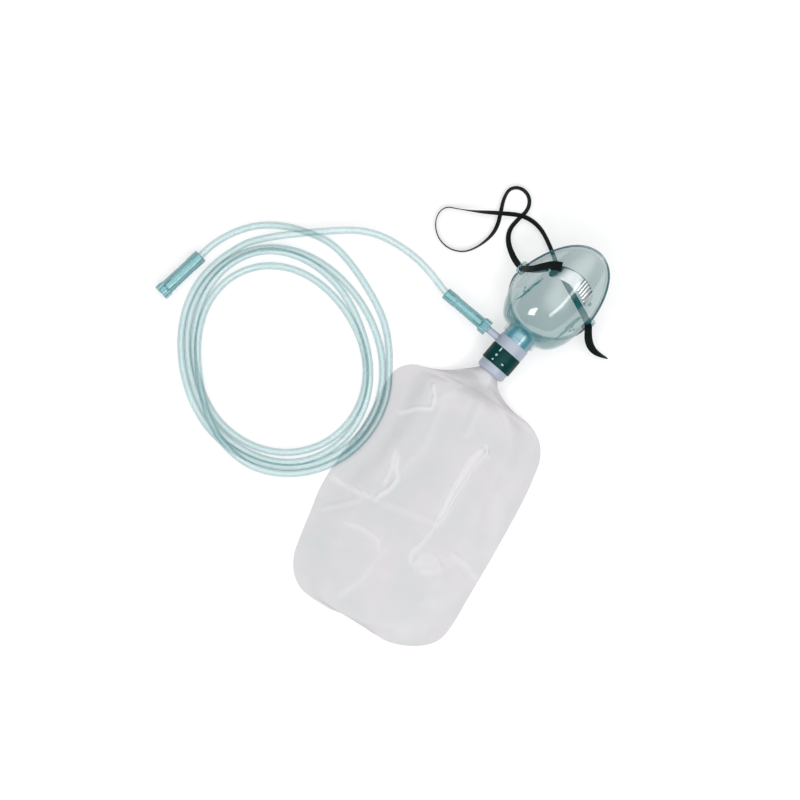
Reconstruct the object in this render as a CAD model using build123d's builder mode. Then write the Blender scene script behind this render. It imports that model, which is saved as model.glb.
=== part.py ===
from build123d import *
import os
from math import cos, pi, radians, sin, tan

# Oxygen mask with a reservoir bag, lying dome up beside its coiled supply tubing.
# Millimetres. +Y runs along the valve barrel from the bag towards the mask, +Z is up,
# and the origin is under the middle of the mask and bag, on the surface they lie on.

# ---- driving dimensions -------------------------------------------------------------

AXIS_X = -26.5          # the barrel's axis
AXIS_Z = 20.2           # the mask's chin holds the barrel clear of the table
BAND_Y = 81.0           # middle of the valve body's outer band

BAND_R = 14.0
BAND_HALF = 5.0
BORE_R = 9.5            # gas way through the valve body
SPIGOT_R = 11.0         # 22 mm conical-type fitting, made plain
SPIGOT_LENGTH = 13.0
SLEEVE_R = 12.2         # carries the dilution collar
SLEEVE_LENGTH = 15.6
RUNNING_GAP = 0.05

COLLAR_R = 14.2
COLLAR_LENGTH = 16.0
COLLAR_TRAVEL = 50.0    # degrees
KEY_SPAN = 9.0          # degrees covered by the key that stops the collar
KEY_ANGLE = -90.0       # the top of the barrel
KEY_R = 13.1
KEY_LENGTH = 3.0
PORT_LENGTH = 6.0
PORT_WIDTH = 8.0

CAP_R = 13.2
CAP_LENGTH = 8.0

SWIVEL_R = 13.3
SWIVEL_FLANGE_R = 15.5

NIPPLE_R = 3.1
NIPPLE_TIP = 39.0       # distance of the nipple's tip from the barrel axis
NIPPLE_Y = BAND_Y - 1.0
TUBE_R = 3.0
TUBE_BORE_R = 2.0
CONNECTOR_START = 25.0
CONNECTOR_END = 72.0
MASK_CONNECTOR_R = 4.9
SUPPLY_CONNECTOR_R = 5.8
CONNECTOR_FLANGE_R = 7.0
CONNECTOR_FLANGE_LENGTH = 8.0
SOCKET_DEPTH = 8.0
PULL_OFF = 14.0

WALL = 1.2
MASK_ROLL = 7.0         # the mask leans over about the barrel
PAGE_Y = 14.0           # the mask's sections fan out like book pages from a line here
PAGE_Z = -3.05
NECK_R = 14.8
FLANGE_WIDTH = 3.0
RIM_ANGLE = 34.0
EAR_REACH = 51.5
EAR_X = 36.8
SLOT_SIZE = (3.2, 8.0)
CLIP_WIDTH = 10.5
CLIP_SPAN = 41.0

STRAP_R = 1.0
EDGE_THICKNESS = 1.2    # welded edge of the bag
NECK_OUTER_R = 8.3
NECK_INNER_R = 7.55

AXIS_LINE = Axis((AXIS_X, BAND_Y, AXIS_Z), (0, 1, 0))

os.makedirs("parts", exist_ok=True)


# ---- helpers ------------------------------------------------------------------------

def barrel_plane(y):
    """A plane across the barrel, y mm beyond the middle of the band."""
    return Plane(origin=(AXIS_X, BAND_Y + y, AXIS_Z), x_dir=(1, 0, 0), z_dir=(0, 1, 0))


def barrel_profile():
    """The plane in which barrel pieces are turned: x is the radius, y runs along the barrel."""
    return Plane(origin=(AXIS_X, BAND_Y, AXIS_Z), x_dir=(1, 0, 0), z_dir=(0, 0, 1))


def save(shape, label):
    """Name a finished piece and write it out."""
    shape.label = label
    export_step(shape, f"parts/{label}.step")


def bend_radii(points):
    """The largest even arc for every corner of a route."""
    corners = []
    vectors = [Vector(*p) for p in points]
    for before, corner, after in zip(vectors, vectors[1:], vectors[2:]):
        turn = (corner - before).get_angle(after - corner)
        run = min((corner - before).length, (after - corner).length)
        corners.append(0.45 * run / tan(radians(turn) / 2))
    return corners


def cord_solid(points, radius, label):
    """A plain round solid along a route of straight runs joined by tangent arcs."""
    radii = bend_radii(points)
    start = Vector(*points[0])
    with BuildPart() as tube:
        with BuildLine() as path:
            FilletPolyline(*points, radius=radii)
        with BuildSketch(Plane(origin=start, z_dir=Vector(*points[1]) - start)):
            Circle(radius)
        sweep(path=path.line)
    length = path.wire().length
    ratio = tube.part.volume / (pi * radius**2 * length)
    print(f"{label}: length {length:.0f}, volume ratio {ratio:.3f}")
    print("  radii", " ".join(f"{radius:.0f}" for radius in radii))
    return tube.part


# ---- valve body and the pieces in its barrel ----------------------------------------

NOTCH_SPAN = COLLAR_TRAVEL + KEY_SPAN + 4
PORT_Y = -BAND_HALF - COLLAR_LENGTH / 2 - 1.5
SEAT_FACE = 3.0         # the seat's underside, measured from the middle of the band
SEAT_THICKNESS = 1.5
FLAP_THICKNESS = 0.5
FLAP_LIFT = 1.2
FLAP_REST = SEAT_FACE + SEAT_THICKNESS + RUNNING_GAP
PIN_R = 0.9
PIN_HEAD_Y = FLAP_REST + FLAP_THICKNESS + FLAP_LIFT + 0.1


def sector(radius, centre_angle, span):
    """A pie slice in a plane across the barrel, for cutting notches and tongues."""
    reach = radius * 2
    first = radians(centre_angle - span / 2)
    last = radians(centre_angle + span / 2)
    with BuildSketch(mode=Mode.PRIVATE) as slice_:
        with BuildLine():
            Polyline(
                (0, 0),
                (reach * cos(first), reach * sin(first)),
                (reach * cos(last), reach * sin(last)),
                close=True,
            )
        make_face()
    return slice_.sketch


with BuildPart() as valve_body:
    with BuildSketch(barrel_profile()):
        with BuildLine():
            Polyline(
                (BORE_R, -BAND_HALF - SLEEVE_LENGTH),
                (SLEEVE_R, -BAND_HALF - SLEEVE_LENGTH),
                (SLEEVE_R, -BAND_HALF),
                (BAND_R, -BAND_HALF),
                (BAND_R, BAND_HALF),
                (SPIGOT_R, BAND_HALF),
                (SPIGOT_R, BAND_HALF + SPIGOT_LENGTH),
                (BORE_R, BAND_HALF + SPIGOT_LENGTH),
                (BORE_R, SEAT_FACE),
                (BORE_R - 1, SEAT_FACE),
                (BORE_R - 1, SEAT_FACE - 1.4),
                (BORE_R, SEAT_FACE - 1.4),
                close=True,
            )
        make_face()
    revolve(axis=AXIS_LINE)
    # a key on the sleeve, under the collar, stops the collar at both ends of its turn
    with BuildSketch(barrel_plane(-BAND_HALF)):
        Circle(KEY_R)
        Circle(SLEEVE_R - 0.5, mode=Mode.SUBTRACT)
        add(sector(KEY_R, KEY_ANGLE, KEY_SPAN), mode=Mode.INTERSECT)
    extrude(amount=-KEY_LENGTH)
    # dilution port, on the side away from the nipple
    with BuildSketch(Plane.YZ.offset(AXIS_X)):
        with Locations((BAND_Y + PORT_Y, AXIS_Z)):
            Rectangle(PORT_LENGTH, PORT_WIDTH)
    extrude(amount=SLEEVE_R * 1.5, mode=Mode.SUBTRACT)
    # side nipple for the oxygen line, tapped into the bore below the valve
    with BuildSketch(Plane.YZ.offset(AXIS_X - NIPPLE_TIP)):
        with Locations((NIPPLE_Y, AXIS_Z)):
            Circle(NIPPLE_R)
    extrude(amount=NIPPLE_TIP - BAND_R + 1)
    with BuildSketch(Plane.YZ.offset(AXIS_X - NIPPLE_TIP)):
        with Locations((NIPPLE_Y, AXIS_Z)):
            Circle(TUBE_BORE_R)
    extrude(amount=NIPPLE_TIP - BORE_R + 1, mode=Mode.SUBTRACT)
save(valve_body.part, "valve_body")

with BuildPart() as valve_seat:
    with BuildSketch(barrel_plane(SEAT_FACE)):
        Circle(BORE_R - 0.02)
        Circle(BORE_R - 2.2, mode=Mode.SUBTRACT)
        Circle(2.4)
        with PolarLocations(0, 4):
            with Locations((4.8, 0)):
                Rectangle(5.6, 1.2)
    extrude(amount=SEAT_THICKNESS)
    with BuildSketch(barrel_plane(SEAT_FACE)):
        Circle(PIN_R - 0.03)
    extrude(amount=SEAT_THICKNESS, mode=Mode.SUBTRACT)
save(valve_seat.part, "valve_seat")

with BuildPart() as flap_pin:
    with BuildSketch(barrel_plane(SEAT_FACE)):
        Circle(PIN_R)
    extrude(amount=PIN_HEAD_Y - SEAT_FACE)
    with BuildSketch(barrel_plane(PIN_HEAD_Y)):
        Circle(2.2)
    extrude(amount=1.0)
save(flap_pin.part, "flap_pin")

with BuildPart() as inlet_flap:
    with BuildSketch(barrel_plane(FLAP_REST)):
        Circle(BORE_R - 1.0)
        Circle(PIN_R + RUNNING_GAP, mode=Mode.SUBTRACT)
    extrude(amount=FLAP_THICKNESS)
save(inlet_flap.part, "inlet_flap")

# ---- dilution collar ----------------------------------------------------------------

COLLAR_TOP = -BAND_HALF - 0.15
NOTCH_CENTRE = KEY_ANGLE + COLLAR_TRAVEL / 2        # the key rests at one end of its groove
WINDOW_SWING = 28.0

with BuildPart() as dilution_collar:
    with BuildSketch(barrel_plane(COLLAR_TOP)):
        Circle(COLLAR_R)
        Circle(SLEEVE_R + RUNNING_GAP, mode=Mode.SUBTRACT)
    extrude(amount=-COLLAR_LENGTH + 0.3)
    outer_rims = dilution_collar.edges().filter_by(GeomType.CIRCLE)
    chamfer(outer_rims.filter_by(lambda e: abs(e.radius - COLLAR_R) < 0.01), 0.4)
    with BuildSketch(barrel_plane(COLLAR_TOP)):
        Circle(KEY_R + 0.15)
        Circle(SLEEVE_R - 0.5, mode=Mode.SUBTRACT)
        add(sector(KEY_R, NOTCH_CENTRE, NOTCH_SPAN), mode=Mode.INTERSECT)
    extrude(amount=-KEY_LENGTH - 0.4, mode=Mode.SUBTRACT)
    window_plane = Plane(
        origin=(AXIS_X, BAND_Y + PORT_Y, AXIS_Z),
        x_dir=(0, 1, 0),
        z_dir=(cos(radians(WINDOW_SWING)), 0, -sin(radians(WINDOW_SWING))),
    )
    with BuildSketch(window_plane):
        Rectangle(PORT_LENGTH, PORT_WIDTH - 2)
    extrude(amount=COLLAR_R * 1.5, mode=Mode.SUBTRACT)
save(dilution_collar.part, "dilution_collar")

# ---- bag adapter and neck band ------------------------------------------------------

CAP_TOP = -BAND_HALF - COLLAR_LENGTH
CAP_MOUTH = CAP_TOP - CAP_LENGTH
SPIGOT_TIP = CAP_MOUTH - 4.0
POCKET_R = 11.2
MOUTH_R = 9.4
ADAPTER_BORE_R = 6.2

with BuildPart() as bag_adapter:
    with BuildSketch(barrel_profile()):
        with BuildLine():
            Polyline(
                (ADAPTER_BORE_R, CAP_TOP + 4.5),
                (BORE_R - 0.02, CAP_TOP + 4.5),
                (BORE_R - 0.02, CAP_TOP),
                (CAP_R, CAP_TOP),
                (CAP_R, CAP_MOUTH + 3.5),
            )
            ThreePointArc(
                (CAP_R, CAP_MOUTH + 3.5),
                (CAP_R - 0.9, CAP_MOUTH + 1.0),
                (CAP_R - 3.2, CAP_MOUTH),
            )
            Polyline(
                (CAP_R - 3.2, CAP_MOUTH),
                (MOUTH_R, CAP_MOUTH),
                (MOUTH_R, CAP_MOUTH + 1.2),
                (POCKET_R, CAP_MOUTH + 1.6),
                (POCKET_R, CAP_TOP - 1.5),
                (NECK_INNER_R - 0.05, CAP_TOP - 1.5),
                (NECK_INNER_R - 0.05, SPIGOT_TIP),
                (ADAPTER_BORE_R, SPIGOT_TIP),
                (ADAPTER_BORE_R, CAP_TOP + 4.5),
            )
        make_face()
    revolve(axis=AXIS_LINE)
save(bag_adapter.part, "bag_adapter")

with BuildPart() as bag_neck_band:
    with BuildSketch(barrel_plane(CAP_TOP - 2.0)):
        Circle(POCKET_R - 0.6)
        Circle(NECK_OUTER_R, mode=Mode.SUBTRACT)
    extrude(amount=-3.5)
    fillet(bag_neck_band.edges().filter_by(GeomType.CIRCLE), 0.5)
save(bag_neck_band.part, "bag_neck_band")

# ---- reservoir bag ------------------------------------------------------------------

BAG_CENTRE = (8.0, -85.0)
BAG_OUTLINE = [
    (7, 41), (34, 40.5), (52, 28), (62, 4), (73, -42), (83, -95), (90, -135), (84, -157),
    (62, -174), (44, -178.5), (28, -178), (8, -186), (-20, -191.8), (-43, -184),
    (-60, -152), (-75, -105), (-75, -75), (-75.5, -42), (-83, -15), (-89, 2),
    (-82, 15), (-62, 24), (-50, 36), (-42, 42),
]


def bag_layer(share):
    """The bag's outline drawn in towards its middle, by the share that is left."""
    cx, cy = BAG_CENTRE
    return [(cx + (x - cx) * share, cy + (y - cy) * share) for x, y in BAG_OUTLINE]


with BuildPart() as reservoir_bag:
    with BuildSketch():
        with BuildLine():
            Polyline(*BAG_OUTLINE, close=True)
        make_face()
    extrude(amount=EDGE_THICKNESS)
    for low, high, share_low, share_high in ((0, 5.5, 0.9, 0.82), (5.5, 9.5, 0.82, 0.55)):
        with BuildSketch(Plane.XY.offset(low)):
            with BuildLine():
                Polyline(*bag_layer(share_low), close=True)
            make_face()
        with BuildSketch(Plane.XY.offset(high)):
            with BuildLine():
                Polyline(*bag_layer(share_high), close=True)
            make_face()
        loft(ruled=True)
    # the neck: round where it grips the adapter, widening and flattening into the bag
    with BuildSketch(barrel_plane(CAP_TOP - 2.0)):
        Circle(NECK_OUTER_R)
    extrude(amount=CAP_MOUTH - 6.0 - (CAP_TOP - 2.0))
    with BuildSketch(barrel_plane(CAP_MOUTH - 6.0)):
        Ellipse(NECK_OUTER_R, NECK_OUTER_R)
    with BuildSketch(Plane((AXIS_X + 4, 15, 4.6), x_dir=(1, 0, 0), z_dir=(0, 1, 0))):
        Ellipse(34, 4.4)
    loft(ruled=True)
    with BuildSketch(barrel_plane(CAP_TOP - 2.0)):
        Circle(NECK_INNER_R)
    extrude(amount=SPIGOT_TIP - 1.0 - (CAP_TOP - 2.0), mode=Mode.SUBTRACT)
save(reservoir_bag.part, "reservoir_bag")

# ---- mask shell ---------------------------------------------------------------------

# Each page is (angle, r at the chin, r at the nose, half width, r of the widest place).
NECK_CENTRE_R = AXIS_Z - PAGE_Z
PAGES = [
    (90.0, NECK_CENTRE_R - NECK_R, NECK_CENTRE_R + NECK_R, NECK_R, NECK_CENTRE_R),
    (84.0, 7.7, 46.0, 21.0, 26.0),
    (76.0, 7.6, 56.0, 25.5, 30.5),
    (68.0, 7.6, 65.0, 28.5, 34.0),
    (60.0, 7.7, 75.5, 31.0, 37.5),
    (52.0, 8.0, 86.0, 32.6, 40.5),
    (43.0, 8.6, 98.5, 33.7, 43.5),
    (RIM_ANGLE, 9.4, 111.0, 34.2, 46.0),
]


def page_plane(angle):
    """A plane through the hinge line of the mask's sections; its y axis runs up the page."""
    up = (0, cos(radians(angle)), sin(radians(angle)))
    return Plane(
        origin=(AXIS_X, BAND_Y + PAGE_Y, PAGE_Z),
        x_dir=(1, 0, 0),
        z_dir=(0, -up[2], up[1]),
    )


def page_outline(page, grow):
    """A section of the mask: round at the chin, widest below the middle, narrow at the nose."""
    angle, low, high, half, widest = page
    low, high, half = low - grow, high + grow, half + grow
    nose = high - widest
    chin = widest - low
    round_ = abs(nose - chin) < 1.0
    upper = 0.866 if round_ else 0.83
    tip = 0.5 if round_ else 0.48
    right = [
        (0.5 * half, widest - 0.866 * chin),
        (0.866 * half, widest - 0.5 * chin),
        (half, widest),
        (upper * half, widest + 0.5 * nose),
        (tip * half, widest + 0.866 * nose),
    ]
    left = [(-x, r) for x, r in reversed(right)]
    return [(0, low)] + right + [(0, high)] + left


def page_sketch(page, grow):
    """One closed section as a face on its own page."""
    with BuildSketch(page_plane(page[0]), mode=Mode.PRIVATE) as section:
        with BuildLine():
            Spline(*page_outline(page, grow), periodic=True)
        make_face()
    return section.sketch


def mask_volume(grow):
    """The mask's filled shape from neck to rim, grown by the given amount."""
    faces = [page_sketch(page, grow).faces()[0] for page in PAGES]
    return loft(faces, ruled=True, mode=Mode.PRIVATE)


outer_volume = mask_volume(0)
inner_volume = mask_volume(-WALL)

with BuildPart() as mask_shell:
    add(outer_volume)
    # neck collar around the swivel connector
    with BuildSketch(barrel_plane(8.5)):
        Circle(NECK_R - 0.5)
    extrude(amount=PAGE_Y - 8.5 + 1.0)
    # flat flange that seals against the face, with an ear on each side
    add(page_sketch(PAGES[-1], FLANGE_WIDTH))
    extrude(amount=1.4, dir=Vector(page_plane(RIM_ANGLE).z_dir))
    with BuildSketch(page_plane(RIM_ANGLE)):
        with Locations((-EAR_X + 1, EAR_REACH), (EAR_X - 1, EAR_REACH)):
            RectangleRounded(8.0, 14.0, 2.5)
    extrude(amount=1.4)
    add(inner_volume, mode=Mode.SUBTRACT)
    with BuildSketch(barrel_plane(8.0)):
        Circle(SWIVEL_R - 0.05)
    extrude(amount=PAGE_Y - 8.0 + 1.5, mode=Mode.SUBTRACT)
    with BuildSketch(page_plane(RIM_ANGLE).offset(-3)):
        with Locations((-EAR_X, EAR_REACH), (EAR_X, EAR_REACH)):
            Rectangle(*SLOT_SIZE)
    extrude(amount=6, mode=Mode.SUBTRACT)
    # three small exhalation holes in each cheek
    for side in (-1, 1):
        with BuildSketch(Plane((AXIS_X + side * 27, BAND_Y + 45, 20))):
            with PolarLocations(1.9, 3):
                Circle(0.8)
        extrude(amount=60, mode=Mode.SUBTRACT)
mask_solid = mask_shell.part.rotate(AXIS_LINE, MASK_ROLL)
save(mask_solid, "mask_shell")

# ---- nose clip ----------------------------------------------------------------------

CLIP_Y = 73.5
CLIP_Z = 60.0
CLIP_LEAN = 50.0        # degrees from the horizontal, following the bridge of the nose

with BuildPart() as nose_clip:
    add(mask_volume(1.1))
    add(mask_volume(0.15), mode=Mode.SUBTRACT)
    lean = radians(CLIP_LEAN)
    clip_plane = Plane(
        origin=(AXIS_X, BAND_Y + CLIP_Y, CLIP_Z),
        x_dir=(1, 0, 0),
        z_dir=(0, -sin(lean), cos(lean)),
    )
    with BuildSketch(clip_plane.offset(-CLIP_WIDTH / 2)):
        with Locations((0, 4)):
            Rectangle(CLIP_SPAN, 34)
    extrude(amount=CLIP_WIDTH, mode=Mode.INTERSECT)
clip_solid = nose_clip.part.rotate(AXIS_LINE, MASK_ROLL)
save(clip_solid, "nose_clip")

# ---- swivel connector ---------------------------------------------------------------

with BuildPart() as swivel_connector:
    with BuildSketch(barrel_profile()):
        with BuildLine():
            Polyline(
                (SPIGOT_R + RUNNING_GAP, BAND_HALF + 0.15),
                (SWIVEL_R, BAND_HALF + 0.15),
                (SWIVEL_R, BAND_HALF + 11.0),
                (SWIVEL_FLANGE_R, BAND_HALF + 14.0),
                (SWIVEL_FLANGE_R, BAND_HALF + 15.9),
                (SPIGOT_R + RUNNING_GAP, BAND_HALF + 15.9),
                close=True,
            )
        make_face()
    revolve(axis=AXIS_LINE)
save(swivel_connector.part, "swivel_connector")

# ---- head strap ---------------------------------------------------------------------

STRAP_ROUTE = [
    (-46.5, 153.5, 57.2), (-50, 148, 53.4), (-54.2, 143, 48.6), (-58.5, 139.6, 42),
    (-61.6, 137.9, 34.5), (-63.4, 137.4, 28.5), (-68.5, 138.2, 21), (-76, 141, 13), (-86, 147, 6), (-92.5, 156, 3),
    (-92.5, 168, 2.8), (-91, 180, 2.8), (-97, 189, 2.8), (-107.5, 190.5, 2.8),
    (-115, 184, 2.8), (-113.4, 173.8, 2.8), (-107.6, 163.1, 2.8), (-102.3, 153.1, 2.8),
    (-100.5, 143, 2.8), (-102.5, 130, 2.8), (-108, 118, 2.8), (-118.2, 111.3, 2.8),
    (-130, 110.5, 2.8), (-141, 116, 2.8), (-147.7, 126, 2.8), (-146.5, 136.5, 2.8),
    (-137, 141.5, 3.5), (-122, 151, 6), (-106, 163, 7), (-91, 173.5, 6.5),
    (-75, 175.5, 3.5), (-59.4, 169.6, 2.8), (-44.4, 161.2, 2.8), (-32.3, 154.8, 3.2),
    (-19.9, 150.8, 5), (-8, 146.5, 9), (1.5, 142.6, 14), (8, 139.6, 18.6),
    (11.6, 137, 22.6), (14.8, 132.8, 23), (19, 128.4, 18.4), (25, 125, 12.4),
    (33, 124.4, 7), (41.6, 127.4, 3.2),
]

head_strap = cord_solid(STRAP_ROUTE, STRAP_R, "head_strap")
save(head_strap, "head_strap")

# ---- oxygen line --------------------------------------------------------------------

LINE_X = AXIS_X - CONNECTOR_END
SUPPLY_AXIS = Vector(-0.112, -0.994, 0)
SUPPLY_START = Vector(-277.3, -30.7, 7.2)
SUPPLY_LENGTH = 46.6
SUPPLY_BORE_R = 3.2
SUPPLY_BORE_LENGTH = 14.0


def tube_connector(plane, length, barrel_r, bore_r, bore_depth):
    """A ribbed-flange tube connector, drawn from its mouth; the tube sits in its far end."""
    band_start = length - SOCKET_DEPTH - 4
    profile = Plane(origin=plane.origin, x_dir=plane.x_dir, z_dir=-plane.y_dir)
    with BuildPart() as connector:
        with BuildSketch(profile):
            with BuildLine():
                Polyline(
                    (bore_r, 0),
                    (CONNECTOR_FLANGE_R, 0),
                    (CONNECTOR_FLANGE_R, CONNECTOR_FLANGE_LENGTH - 2),
                    (barrel_r + 0.3, CONNECTOR_FLANGE_LENGTH),
                    (barrel_r, band_start),
                    (barrel_r + 0.35, band_start + 0.5),
                    (barrel_r + 0.35, length - 0.6),
                    (barrel_r - 0.2, length),
                    (TUBE_R + 0.02, length),
                    (TUBE_R + 0.02, length - SOCKET_DEPTH),
                    (TUBE_BORE_R, length - SOCKET_DEPTH),
                    (TUBE_BORE_R, bore_depth + 1),
                    (bore_r, bore_depth),
                    close=True,
                )
            make_face()
        revolve(axis=Axis(plane.origin, plane.z_dir))
        with BuildSketch(plane):
            with PolarLocations(CONNECTOR_FLANGE_R + 0.5, 12):
                Circle(1.1)
        extrude(amount=CONNECTOR_FLANGE_LENGTH, mode=Mode.SUBTRACT)
    return connector.part


mask_mouth = Plane(
    origin=(AXIS_X - CONNECTOR_START, NIPPLE_Y, AXIS_Z), x_dir=(0, 1, 0), z_dir=(-1, 0, 0)
)
mask_end_connector = tube_connector(
    mask_mouth,
    CONNECTOR_END - CONNECTOR_START,
    MASK_CONNECTOR_R,
    NIPPLE_R + RUNNING_GAP,
    PULL_OFF + 0.5,
)
save(mask_end_connector, "mask_end_connector")

supply_mouth = Plane(
    origin=SUPPLY_START + SUPPLY_AXIS * SUPPLY_LENGTH, x_dir=(0, 0, 1), z_dir=SUPPLY_AXIS * -1
)
supply_end_connector = tube_connector(
    supply_mouth, SUPPLY_LENGTH, SUPPLY_CONNECTOR_R, SUPPLY_BORE_R, SUPPLY_BORE_LENGTH
)
save(supply_end_connector, "supply_end_connector")

LEAD_ROUTE = [
    (LINE_X + SOCKET_DEPTH, NIPPLE_Y, AXIS_Z), (-99, 80.2, 19.5), (-109, 82.5, 19.2),
    (-121, 85, 18.2), (-137, 86.5, 16.6), (-154, 85.3, 14.9), (-171, 81.9, 13.2),
    (-185.5, 75.2, 11.8), (-197, 66.5, 10.7), (-209, 55, 9.9), (-221, 43, 9.5),
    (-232, 31.5, 9), (-242, 20.5, 7), (-250.5, 9.5, 4.6), (-256.5, 0, 3.4),
]
TAIL_ROUTE = [
    (-95.5, 3, 3.1), (-104, 12.8, 3.1), (-115, 22.5, 3.1), (-127, 30.5, 3.1),
    (-142, 37, 3.1), (-160, 43, 3.1), (-177, 47.2, 3.1), (-193, 49.3, 3.1),
    (-208, 48, 3.1), (-223.4, 42.6, 3.1), (-238, 35.8, 3.1), (-250.5, 27, 3.1),
    (-260.5, 16.5, 3.2), (-267.8, 5, 3.8), (-273, -7, 5), (-276, -18, 6.4),
    (-277.2, -28, 7.2), (-278.3, -38.65, 7.2),
]

oxygen_tubing_lead = cord_solid(LEAD_ROUTE, TUBE_R, "oxygen_tubing_lead")
save(oxygen_tubing_lead, "oxygen_tubing_lead")
oxygen_tubing_tail = cord_solid(TAIL_ROUTE, TUBE_R, "oxygen_tubing_tail")
save(oxygen_tubing_tail, "oxygen_tubing_tail")

# The coil is one ring of the outer shape of its turns, notched where it lies on the bag's edge.
COIL_HEIGHT = 12.4
COIL_OUTSIDE = [
    (-264.5, -36), (-259.5, -9), (-243.2, 13), (-217, 28), (-184.7, 32.3), (-150, 29.5),
    (-119, 18.5), (-93, 3), (-79, -21), (-72.8, -55), (-73, -88), (-84, -112),
    (-112, -131), (-148, -140.8), (-184, -137), (-220.2, -121.1), (-248, -93),
    (-261, -65),
]
COIL_INSIDE = [
    (-244.5, -40), (-237, -15.5), (-216, 4.8), (-188, 12.8), (-157, 10.8), (-124, -4.2),
    (-102, -28.5), (-94.6, -56), (-97.8, -82.4), (-114, -107.5), (-145, -123.5),
    (-175, -122.8), (-204, -111.5), (-229, -87), (-242, -63),
]

with BuildPart() as oxygen_tubing_coil:
    with BuildSketch():
        with BuildLine():
            Spline(*COIL_OUTSIDE, periodic=True)
        make_face()
        with BuildLine():
            Spline(*COIL_INSIDE, periodic=True)
        make_face(mode=Mode.SUBTRACT)
    extrude(amount=COIL_HEIGHT)
    with BuildSketch():
        with BuildLine():
            Polyline(*BAG_OUTLINE, close=True)
        make_face()
        offset(amount=0.6, kind=Kind.INTERSECTION)
    extrude(amount=EDGE_THICKNESS + 0.4, mode=Mode.SUBTRACT)
save(oxygen_tubing_coil.part, "oxygen_tubing_coil")
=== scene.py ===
from math import cos, exp, hypot, pi, radians, sin, sqrt

import bmesh
import bpy
from mathutils import Matrix, Vector, noise
from mathutils.bvhtree import BVHTree


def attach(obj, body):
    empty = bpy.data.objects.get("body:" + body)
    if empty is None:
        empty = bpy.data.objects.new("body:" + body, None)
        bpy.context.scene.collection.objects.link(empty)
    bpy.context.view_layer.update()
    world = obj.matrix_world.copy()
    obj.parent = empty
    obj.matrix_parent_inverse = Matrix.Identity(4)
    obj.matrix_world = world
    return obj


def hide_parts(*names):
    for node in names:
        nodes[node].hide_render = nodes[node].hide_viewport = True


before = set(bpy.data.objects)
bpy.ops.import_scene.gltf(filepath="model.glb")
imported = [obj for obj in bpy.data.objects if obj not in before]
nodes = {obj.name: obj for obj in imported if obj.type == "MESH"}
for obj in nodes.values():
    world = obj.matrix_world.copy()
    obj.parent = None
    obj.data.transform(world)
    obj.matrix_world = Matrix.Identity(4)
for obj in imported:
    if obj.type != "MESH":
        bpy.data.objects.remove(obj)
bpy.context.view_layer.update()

scene = bpy.context.scene

# Lengths below are millimetres until a mesh or curve is made.
MM = 0.001
AXIS_X = -26.5          # the valve's barrel runs along +Y at this x and height
AXIS_Z = 20.2
BAND_Y = 81.0           # middle of the valve body's band
RESTING_Z = 0.5         # lowest line of the mask's soft rim
MASK_ROLL = 7.0         # the mask leans over about the barrel, degrees
PAGE_Y = 14.0           # the mask's sections fan out like book pages from a line here
PAGE_Z = -3.05
NECK_R = 14.8
WALL = 1.2
FLANGE_WIDTH = 3.0
FLANGE_LIFT = -0.7
RIM_ANGLE = 34.0
ABOVE_ALL = 120         # a height above everything, to look down from
COLLAR_R = 14.2
BAND_R = 14.0
TUBE_R = 3.0
TUBE_BORE_R = 1.9


# ---- small helpers ------------------------------------------------------------------

def lerp(a, b, t):
    return a + (b - a) * t


def smooth(t):
    t = max(0.0, min(1.0, t))
    return t * t * (3 - 2 * t)


def hermite(keys, at):
    """A smooth value at one place along a list of (place, value, value...) keys."""
    if at <= keys[0][0]:
        return list(keys[0][1:])
    if at >= keys[-1][0]:
        return list(keys[-1][1:])
    i = max(j for j, key in enumerate(keys[:-1]) if key[0] <= at)
    before = keys[max(i - 1, 0)]
    a, b = keys[i], keys[i + 1]
    after = keys[min(i + 2, len(keys) - 1)]
    span = b[0] - a[0]
    t = (at - a[0]) / span
    values = []
    for k in range(1, len(a)):
        slope_a = (b[k] - before[k]) / max(b[0] - before[0], 1e-9) * span
        slope_b = (after[k] - a[k]) / max(after[0] - a[0], 1e-9) * span
        values.append(
            (2 * t**3 - 3 * t**2 + 1) * a[k]
            + (t**3 - 2 * t**2 + t) * slope_a
            + (3 * t**2 - 2 * t**3) * b[k]
            + (t**3 - t**2) * slope_b
        )
    return values


def closed_curve(points, steps):
    """A smooth closed line through the points."""
    count = len(points)
    line = []
    for i in range(count):
        p0, p1, p2, p3 = (points[(i + k) % count] for k in (-1, 0, 1, 2))
        for s in range(steps):
            t = s / steps
            line.append(tuple(
                0.5 * (
                    2 * b + (c - a) * t + (2 * a - 5 * b + 4 * c - d) * t * t
                    + (3 * b - a - 3 * c + d) * t**3
                )
                for a, b, c, d in zip(p0, p1, p2, p3)
            ))
    return line


def add_mesh(name, verts, faces, material, body):
    """A mesh object from millimetre points, riding on a body."""
    mesh = bpy.data.meshes.new(name)
    mesh.from_pydata([Vector(v) * MM for v in verts], [], faces)
    mesh.validate()
    work = bmesh.new()
    work.from_mesh(mesh)
    bmesh.ops.remove_doubles(work, verts=work.verts, dist=1e-6)
    bmesh.ops.recalc_face_normals(work, faces=work.faces)
    work.to_mesh(mesh)
    work.free()
    mesh.shade_smooth()
    mesh.materials.append(material)
    obj = bpy.data.objects.new(name, mesh)
    scene.collection.objects.link(obj)
    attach(obj, body)
    return obj


def grid_faces(rows, columns, closed=False):
    faces = []
    last = columns if closed else columns - 1
    for r in range(rows - 1):
        for c in range(last):
            d = (c + 1) % columns
            faces.append((
                r * columns + c, r * columns + d,
                (r + 1) * columns + d, (r + 1) * columns + c,
            ))
    return faces


def smooth_by_angle(obj, angle):
    obj.data.shade_smooth()
    obj.data.set_sharp_from_angle(angle=radians(angle))


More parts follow.
